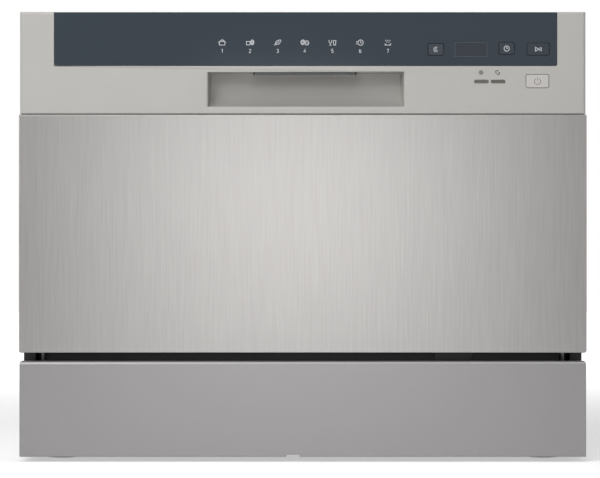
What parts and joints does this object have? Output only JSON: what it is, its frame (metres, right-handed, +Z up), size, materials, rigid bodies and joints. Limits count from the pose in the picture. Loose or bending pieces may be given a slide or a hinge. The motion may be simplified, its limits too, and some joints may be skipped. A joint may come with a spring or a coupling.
{
  "type": "countertop dishwasher",
  "caption": "Countertop dishwasher with a drop-down brushed steel door, a silver control panel with a hand recess, a wire basket and a spray arm.",
  "frame": {"origin": "centre of the footprint, on the surface that the feet stand on", "axes": "+X to the right seen from the front, +Y to the back, +Z up; the door faces -Y"},
  "size_m": [0.55, 0.5, 0.438],
  "materials": {
    "painted_steel": "satin paint on sheet steel",
    "cover_plastic": "moulded silver plastic, fine grain",
    "zinc_steel": "zinc-plated sheet steel",
    "black_steel": "black paint on sheet steel",
    "dark_plastic": "moulded polypropylene",
    "kick_metal": "silver paint on folded sheet",
    "foot_plastic": "moulded plastic foot",
    "tub_steel": "deep-drawn stainless steel",
    "seal_rubber": "EPDM rubber",
    "pin_steel": "bright steel",
    "spring_steel": "spring wire",
    "grey_plastic": "glass-filled polypropylene",
    "pump_plastic": "black glass-filled nylon",
    "white_plastic": "natural polypropylene",
    "cap_plastic": "white moulded plastic",
    "foam": "expanded polystyrene",
    "filter_steel": "perforated stainless steel",
    "arm_plastic": "moulded polypropylene",
    "coated_wire": "steel wire with a nylon coat",
    "roller_plastic": "moulded acetal",
    "cutlery_plastic": "moulded polypropylene",
    "brushed_steel_panel": "vertically brushed stainless steel",
    "silver_plastic": "silver moulded ABS",
    "gloss_strip": "glossy blue-grey acrylic",
    "smoked_window": "smoked acrylic",
    "silver_button": "silver moulded ABS",
    "strip_button": "glossy blue-grey ABS",
    "lens": "smoked light pipe",
    "lever_plastic": "silver moulded ABS",
    "dispenser_plastic": "grey polypropylene",
    "lid_plastic": "grey polypropylene",
    "circuit_board": "fibreglass board with solder mask"
  },
  "bodies": {
    "case": {"side_panel_left": "painted_steel", "side_panel_right": "painted_steel", "top_cover": "cover_plastic", "rear_panel": "zinc_steel", "base_tray": "dark_plastic", "kick_plate": "kick_metal", "tub": "tub_steel", "tub_gasket": "seal_rubber", "sill_seal": "seal_rubber", "front_crossbar": "black_steel", "hinge_brackets": "black_steel", "hinge_pins": "pin_steel", "door_springs": "spring_steel", "sump": "grey_plastic", "wash_pump": "pump_plastic", "drain_pump": "pump_plastic", "flow_heater": "tub_steel", "water_softener": "white_plastic", "inlet_valve": "white_plastic", "drain_outlet": "grey_plastic", "cord_gland": "dark_plastic", "air_break": "white_plastic", "fine_filter": "filter_steel", "spray_hub": "grey_plastic", "latch_strike": "zinc_steel"},
    "door": {"hinge_arms": "zinc_steel", "door_panel": "brushed_steel_panel", "door_liner": "tub_steel", "control_panel": "silver_plastic", "display_strip": "gloss_strip", "display_window": "smoked_window", "indicator_lenses": "lens", "latch_housing": "dark_plastic", "dispenser": "dispenser_plastic", "control_board": "circuit_board", "door_screws": "pin_steel"},
    "power_button": {"power_button": "silver_button"},
    "program_button": {"program_button": "strip_button"},
    "delay_button": {"delay_button": "strip_button"},
    "start_button": {"start_button": "strip_button"},
    "latch_lever": {"latch_handle": "lever_plastic"},
    "latch_pawl": {"latch_pawl": "zinc_steel"},
    "dispenser_lid": {"dispenser_lid": "lid_plastic"},
    "rinse_cap": {"rinse_cap": "cap_plastic"},
    "basket": {"basket": "coated_wire"},
    "roller_front_left": {"roller_front_left": "roller_plastic"},
    "roller_front_right": {"roller_front_right": "roller_plastic"},
    "roller_rear_left": {"roller_rear_left": "roller_plastic"},
    "roller_rear_right": {"roller_rear_right": "roller_plastic"},
    "cup_shelf": {"cup_shelf": "coated_wire"},
    "cutlery_basket": {"cutlery_basket": "cutlery_plastic", "cutlery_grip": "cutlery_plastic"},
    "spray_arm": {"spray_arm": "arm_plastic"},
    "salt_cap": {"salt_cap": "cap_plastic"},
    "coarse_filter": {"coarse_filter": "grey_plastic"},
    "leak_float": {"leak_float": "foam"},
    "foot_front_left": {"foot_front_left": "foot_plastic"},
    "foot_front_right": {"foot_front_right": "foot_plastic"},
    "foot_rear_left": {"foot_rear_left": "foot_plastic"},
    "foot_rear_right": {"foot_rear_right": "foot_plastic"}
  },
  "joints": [
    {"name": "door_hinge", "type": "hinge", "parent": "case", "child": "door", "pos_m": [0, -0.23, 0.121], "axis": [1, 0, 0], "range_deg": [0, 90], "stiffness_Nm_per_rad": 3, "deforming": ["door_springs"]},
    {"name": "basket_slide", "type": "slide", "parent": "case", "child": "basket", "axis": [0, -1, 0], "range_m": [0, 0.1165]},
    {"name": "roller_front_left_roll", "type": "hinge", "parent": "basket", "child": "roller_front_left", "pos_m": [-0.233, -0.12, 0.1553], "axis": [1, 0, 0], "continuous": true},
    {"name": "roller_front_right_roll", "type": "hinge", "parent": "basket", "child": "roller_front_right", "pos_m": [0.233, -0.12, 0.1553], "axis": [1, 0, 0], "continuous": true},
    {"name": "roller_rear_left_roll", "type": "hinge", "parent": "basket", "child": "roller_rear_left", "pos_m": [-0.233, 0.12, 0.1553], "axis": [1, 0, 0], "continuous": true},
    {"name": "roller_rear_right_roll", "type": "hinge", "parent": "basket", "child": "roller_rear_right", "pos_m": [0.233, 0.12, 0.1553], "axis": [1, 0, 0], "continuous": true},
    {"name": "cup_shelf_fold", "type": "hinge", "parent": "basket", "child": "cup_shelf", "pos_m": [-0.211, 0, 0.271], "axis": [0, -1, 0], "range_deg": [0, 85]},
    {"name": "cutlery_basket_lift", "type": "slide", "parent": "basket", "child": "cutlery_basket", "axis": [0, 0, 1], "range_m": [0, 0.1]},
    {"name": "spray_arm_spin", "type": "hinge", "parent": "case", "child": "spray_arm", "pos_m": [0, 0, 0.152], "axis": [0, 0, 1], "continuous": true},
    {"name": "salt_cap_turn", "type": "hinge", "parent": "case", "child": "salt_cap", "pos_m": [-0.165, 0.14, 0.14], "axis": [0, 0, 1], "range_deg": [0, 90]},
    {"name": "coarse_filter_turn", "type": "hinge", "parent": "case", "child": "coarse_filter", "pos_m": [0, -0.085, 0.1], "axis": [0, 0, 1], "range_deg": [0, 90]},
    {"name": "leak_float_rise", "type": "slide", "parent": "case", "child": "leak_float", "axis": [0, 0, 1], "range_m": [0, 0.008]},
    {"name": "latch_pull", "type": "hinge", "parent": "door", "child": "latch_lever", "pos_m": [0, -0.217, 0.404], "axis": [-1, 0, 0], "range_deg": [0, 12], "stiffness_Nm_per_rad": 2},
    {"name": "latch_pawl_lift", "type": "hinge", "parent": "door", "child": "latch_pawl", "pos_m": [0, -0.219, 0.421], "axis": [1, 0, 0], "range_deg": [0, 10]},
    {"name": "power_button_press", "type": "slide", "parent": "door", "child": "power_button", "axis": [0, 1, 0], "range_m": [0, 0.0012], "stiffness_N_per_m": 400},
    {"name": "program_button_press", "type": "slide", "parent": "door", "child": "program_button", "axis": [0, 1, 0], "range_m": [0, 0.0012], "stiffness_N_per_m": 400},
    {"name": "delay_button_press", "type": "slide", "parent": "door", "child": "delay_button", "axis": [0, 1, 0], "range_m": [0, 0.0012], "stiffness_N_per_m": 400},
    {"name": "start_button_press", "type": "slide", "parent": "door", "child": "start_button", "axis": [0, 1, 0], "range_m": [0, 0.0012], "stiffness_N_per_m": 400},
    {"name": "dispenser_lid_slide", "type": "slide", "parent": "door", "child": "dispenser_lid", "axis": [0, 0, -1], "range_m": [0, 0.05]},
    {"name": "rinse_cap_turn", "type": "hinge", "parent": "door", "child": "rinse_cap", "pos_m": [0.072, -0.215, 0.282], "axis": [0, 1, 0], "range_deg": [0, 90]},
    {"name": "foot_front_left_turn", "type": "hinge", "parent": "case", "child": "foot_front_left", "pos_m": [-0.238, -0.17, 0.02], "axis": [0, 0, 1], "continuous": true},
    {"name": "foot_front_right_turn", "type": "hinge", "parent": "case", "child": "foot_front_right", "pos_m": [0.238, -0.17, 0.02], "axis": [0, 0, 1], "continuous": true},
    {"name": "foot_rear_left_turn", "type": "hinge", "parent": "case", "child": "foot_rear_left", "pos_m": [-0.238, 0.195, 0.02], "axis": [0, 0, 1], "continuous": true},
    {"name": "foot_rear_right_turn", "type": "hinge", "parent": "case", "child": "foot_rear_right", "pos_m": [0.238, 0.195, 0.02], "axis": [0, 0, 1], "continuous": true}
  ],
  "couplings": [
    {"joint": "basket_slide", "follows": "door_hinge", "m_per_rad": 0.074},
    {"joint": "latch_pawl_lift", "follows": "latch_pull", "ratio": 0.8},
    {"joint": "roller_front_left_roll", "follows": "door_hinge", "ratio": 6.1667},
    {"joint": "roller_front_right_roll", "follows": "door_hinge", "ratio": 6.1667},
    {"joint": "roller_rear_left_roll", "follows": "door_hinge", "ratio": 6.1667},
    {"joint": "roller_rear_right_roll", "follows": "door_hinge", "ratio": 6.1667}
  ]
}
